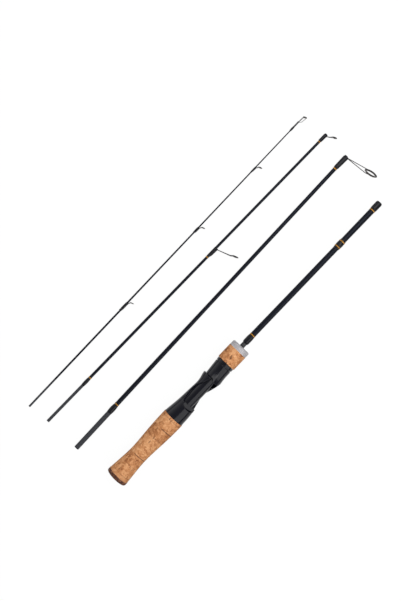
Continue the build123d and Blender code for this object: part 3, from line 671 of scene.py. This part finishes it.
# painted highlight: the edge mask paints the ring's rounded edges near white
edge_mask = effect(tree, edge_wear_and_glint, {"Place": place, "Patch scale": 500.0, "Edge width": glint_edge_width})
bright = mix_colour(tree, edge_mask["Rub"], ramp(tree, lathe, silver_greys), edge_highlight_silver)
feed(tree, shader, base_color=bright, roughness=remap(tree, lathe, wanted=(0.5, 0.7)),
     normal=bumped(tree, lathe, strength=0.25, depth=0.00004))
paint(["foregrip_end_ring"], turned_metal)

# %% [markdown]
# ## The blanks
# The blanks are carbon with a thin blue-black paint that lets the tape's spiral show.  At the
# thick end of a section the last few centimetres are the spigot, which is ground to fit its
# socket and left bare, so it is paler and matt.  The section's own frame tells where the spigot
# stops.  One function makes the finish, and each section gets its own axis and spigot length.

# %% Make the finish of each blank
cool_sheen = (0.72, 0.82, 1.0, 1.0)     # tints the highlight of blue-black paint and varnish
blue_black, tow_shares = (0.0055, 0.0058, 0.0098), (0.72, 1.35)
ground_greys = [(0.3, (0.032, 0.033, 0.038)), (0.7, (0.056, 0.057, 0.063))]
tape_steps = [(0.0, 0.86), (0.06, 1.12), (0.14, 1.0), (1.0, 0.97)]
smoothest_paint, cloud_rough, bare_rough = 0.16, 0.14, 0.25     # roughness, added up
spigot_blend = 0.0002                   # metres
no_spigot = -10.0                       # metres, far short of any blank


def blank_finish(section, spigot_end):
    """Painted carbon on one section's axis, with a bare ground spigot up to a distance."""
    place_on_axis, turning = section_frames[section]
    finish, tree, shader = new_finish(f"{section}_carbon", roughness=0.25, ior=1.215,
                                      specular_tint=cool_sheen)
    own = add(tree, "Mapping", {"Vector": object_place(tree), "Location": place_on_axis,
                                "Rotation": turning}, vector_type="TEXTURE").outputs["Vector"]
    tape = effect(tree, taped_blank, {"Place": own, "Turns per metre": 450.0})
    skin = effect(tree, fine_skin, {"Place": own, "Grain scale": 2200.0, "Cloud scale": 45.0})

    tow_dark, tow_pale = (tuple(channel * share for channel in blue_black)
                          for share in tow_shares)
    painted = mix_colour(tree, 1.0, ramp(tree, tape["Tow"], [(0.3, tow_dark), (0.7, tow_pale)]),
                         ramp(tree, tape["Step"], tape_steps), "MULTIPLY")
    bare = remap(tree, axis_part(tree, own, "X"),
                 (spigot_end + spigot_blend, spigot_end - spigot_blend))
    final = mix_colour(tree, bare, painted, ramp(tree, skin["Grain"], ground_greys))
    paint_rough = maths(tree, "ADD", smoothest_paint,
                        maths(tree, "MULTIPLY", skin["Clouds"], cloud_rough))
    feed(tree, shader, base_color=final,
         roughness=maths(tree, "ADD", maths(tree, "MULTIPLY", bare, bare_rough), paint_rough),
         normal=bumped(tree, tape["Step"], strength=0.3, depth=0.00003))
    return finish


paint(["butt_blank"], blank_finish("butt", no_spigot))
for section in ("lower", "upper", "tip"):
    spigot_length = mounts[f"{section}_spigot"]["dims"]["length_mm"]
    spigot_end = spigot_length / 2000   # metres past the mount, which is in the spigot's middle
    paint([f"{section}_blank"], blank_finish(section, spigot_end))
    print(section, "spigot bare for", round(spigot_length, 1), "mm")

# %% [markdown]
# ## The bare core tube
# Between the foregrip and the first wrap a short length of the tube inside the handle shows.
# It is the same carbon, ground round and never painted, so it is greyer than the blanks.

# %% Make the ground carbon of the core
core_greys = [(0.3, (0.016, 0.0165, 0.019)), (0.7, (0.03, 0.0305, 0.034))]
core_scratch = (0.09, 0.09, 0.1)

core_carbon, tree, shader = new_finish("core_carbon", roughness=0.5, ior=1.45)
skin = effect(tree, fine_skin, {"Place": object_place(tree), "Grain scale": 2400.0,
                                "Cloud scale": 120.0})
lined = stained(tree, ramp(tree, skin["Grain"], core_greys), skin["Scratches"], core_scratch,
                share=0.4)
feed(tree, shader, base_color=lined, roughness=remap(tree, skin["Clouds"], wanted=(0.42, 0.62)),
     normal=bumped(tree, skin["Grain"], strength=0.3, depth=0.00003))
paint(["handle_core"], core_carbon)

# %% [markdown]
# ## Thread wraps
# The guides and the ferrules are bound with black thread and then flooded with clear varnish.
# The thread's ribs still show in the colour and just a little in the surface: each turn is
# painted lighter on its crest and darker into the valley between turns, painted light and shade
# of the round turns.  The varnish lies over them as a smooth bright coat.  The coat is the
# shader's own coat layer, which has a level normal of its own, so the ribs don't disturb the
# highlight much.

# %% Make the varnished thread
thread_blacks = [(0.3, (0.0022, 0.0022, 0.0034)), (0.7, (0.0045, 0.0045, 0.0065))]
crest_lit_black = (0.012, 0.012, 0.016)

varnished_thread, tree, shader = new_finish("varnished_thread", roughness=0.5, ior=1.15,
                                            specular_tint=cool_sheen,
                                            coat_roughness=0.15, coat_ior=1.35)
place = object_place(tree)
rib = effect(tree, wound_thread, {"Place": place, "Turns per metre": 4200.0})["Rib"]
skin = effect(tree, fine_skin, {"Place": place, "Grain scale": 1800.0, "Cloud scale": 150.0})
# painted light and shade: crests of the turns lighter, valleys between them darker
turn_shaded = stained(tree, ramp(tree, skin["Grain"], thread_blacks), rib, crest_lit_black, share=0.35)
feed(tree, shader, base_color=turn_shaded,
     coat_weight=remap(tree, skin["Clouds"], wanted=(0.4, 0.7)),
     normal=bumped(tree, rib, strength=0.2, depth=0.00005))
paint(sorted(name for name in nodes if "_wrap" in name or name == "butt_socket_collar"),
      varnished_thread)

# %% [markdown]
# ## Gold trim bands
# Beside each wrap a few turns of gold metallic thread make a thin bright band.  At this size
# the turns themselves give the glitter, so each band is wound for real: a fine tube that runs
# round the blank in a close helix.  It is made as a mesh, ring by ring, from a path of points,
# and it takes its place, its width and its size from the plain band that it stands for.

# %% Wind the trim bands
thread_radius = 0.000095                # metres
widest_band = 0.0015                    # metres
turn_steps, tube_sides = 40, 6


def wound_band(name, band, section):
    """A close helix of thread that takes the place of a plain trim band."""
    low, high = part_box(band)
    centre = (low + high) / 2
    turning = section_frames[section][1].to_matrix()
    width = min(high.x - low.x, widest_band)
    turns = int(width / (2 * thread_radius))
    radius = (high.z - low.z) / 2 - thread_radius
    steps = turns * turn_steps
    vertices, faces = [], []
    for step in range(steps + 1):
        angle = 2 * math.pi * step / turn_steps
        x = (step / steps - 0.5) * (width - 2 * thread_radius)
        outward = Vector((0, math.cos(angle), math.sin(angle)))
        for side in range(tube_sides):
            tilt = 2 * math.pi * side / tube_sides
            point = (Vector((x + thread_radius * math.sin(tilt), 0, 0))
                     + outward * (radius + thread_radius * math.cos(tilt)))
            vertices.append(centre + turning @ point)
    for step in range(steps):
        for side in range(tube_sides):
            a, b = step * tube_sides + side, step * tube_sides + (side + 1) % tube_sides
            faces.append((a, b, b + tube_sides, a + tube_sides))
    faces.append(tuple(reversed(range(tube_sides))))
    faces.append(tuple(steps * tube_sides + side for side in range(tube_sides)))
    mesh = bpy.data.meshes.new(name)
    mesh.from_pydata(vertices, [], faces)
    mesh.shade_smooth()
    piece = bpy.data.objects.new(name, mesh)
    bpy.context.scene.collection.objects.link(piece)
    return piece, turns


print("each band wound from thread", round(thread_radius * 2000, 2), "mm thick")

# %% [markdown]
# The thread is a plastic strip with a metal film, spun round a core.  It is part metal, and its
# colour runs at random from a darker gold to a pale gold.  Between the turns it goes over to a
# deep orange, a painted shade for the crevices between the turns.

# %% Make the gold thread and put the bands in place
gold_tones = [(0.3, (0.36, 0.14, 0.004)), (0.5, (0.56, 0.25, 0.012)), (0.7, (0.85, 0.50, 0.06))]
crevice_shade_orange = (0.2, 0.07, 0.006)

gold_thread, tree, shader = new_finish("gold_thread", roughness=0.38, coat_roughness=0.15,
                                       coat_weight=0.4)
place = object_place(tree)
valley = effect(tree, wound_thread, {"Place": place, "Turns per metre": 5300.0})["Valley"]
glitter = noise(tree, place, scale=5200.0, detail=1.0)
# painted shade: deep orange in the valleys between the turns
deep = stained(tree, ramp(tree, glitter, gold_tones), valley, crevice_shade_orange, share=0.6)
feed(tree, shader, base_color=deep, metallic=remap(tree, glitter, wanted=(0.25, 0.7)),
     normal=bumped(tree, glitter, strength=0.3, depth=0.00003))

section_body = {"butt": "handle", "lower": "lower_section", "upper": "upper_section",
                "tip": "tip_section"}
for band in sorted(name for name in nodes if "_trim_band_" in name):
    section = band.split("_")[0]
    coil, turns = wound_band(band.replace("trim_band", "trim_winding"), band, section)
    coil.data.materials.append(gold_thread)
    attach(coil, section_body[section])
    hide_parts(band)
    print(coil.name, turns, "turns")

# %% [markdown]
# ## The line guides
# Each guide is bent from stainless wire and carries a hard ceramic ring.  The wire is drawn and
# then plated nearly black, so it has faint lines and a satin shine of a smoky grey, and rubbed
# edges show the brighter steel.  The ring is the part that the line saws on: very dark and very
# smooth.  Its touch of brown, laid on in soft random clouds, is a painted warm reflection.

# %% Make the wire and the ring
steel_greys = [(0.3, (0.024, 0.023, 0.025)), (0.7, (0.06, 0.058, 0.061))]
bare_steel = (0.2, 0.2, 0.21)
ceramic_and_reflection_browns = [(0.3, (0.010, 0.008, 0.007)), (0.7, (0.034, 0.023, 0.016))]

guide_wire, tree, shader = new_finish("guide_wire", metallic=1.0, roughness=0.32)
place = object_place(tree)
skin = effect(tree, fine_skin, {"Place": place, "Grain scale": 3200.0, "Cloud scale": 240.0})
edge_mask = effect(tree, edge_wear_and_glint, {"Place": place, "Patch scale": 700.0})["Rub"]
cleaned = stained(tree, ramp(tree, skin["Clouds"], steel_greys), edge_mask, bare_steel, share=0.5)
feed(tree, shader, base_color=cleaned,
     roughness=remap(tree, skin["Grain"], wanted=(0.24, 0.42)),
     normal=bumped(tree, skin["Scratches"], strength=0.15, depth=0.00002))
paint(sorted(name for name in nodes if "guide_frame" in name or name == "tip_top_frame"),
      guide_wire)

dark_ceramic, tree, shader = new_finish("dark_ceramic", roughness=0.16, ior=1.5)
skin = effect(tree, fine_skin, {"Place": object_place(tree), "Grain scale": 2600.0,
                                "Cloud scale": 260.0})
# near black, with a painted warm reflection as brown clouds
feed(tree, shader, base_color=ramp(tree, skin["Clouds"], ceramic_and_reflection_browns),
     roughness=remap(tree, skin["Grain"], wanted=(0.12, 0.24)),
     normal=bumped(tree, skin["Grain"], strength=0.08, depth=0.00002))
paint(sorted(name for name in nodes if "guide_ring" in name or name == "tip_top_ring"),
      dark_ceramic)
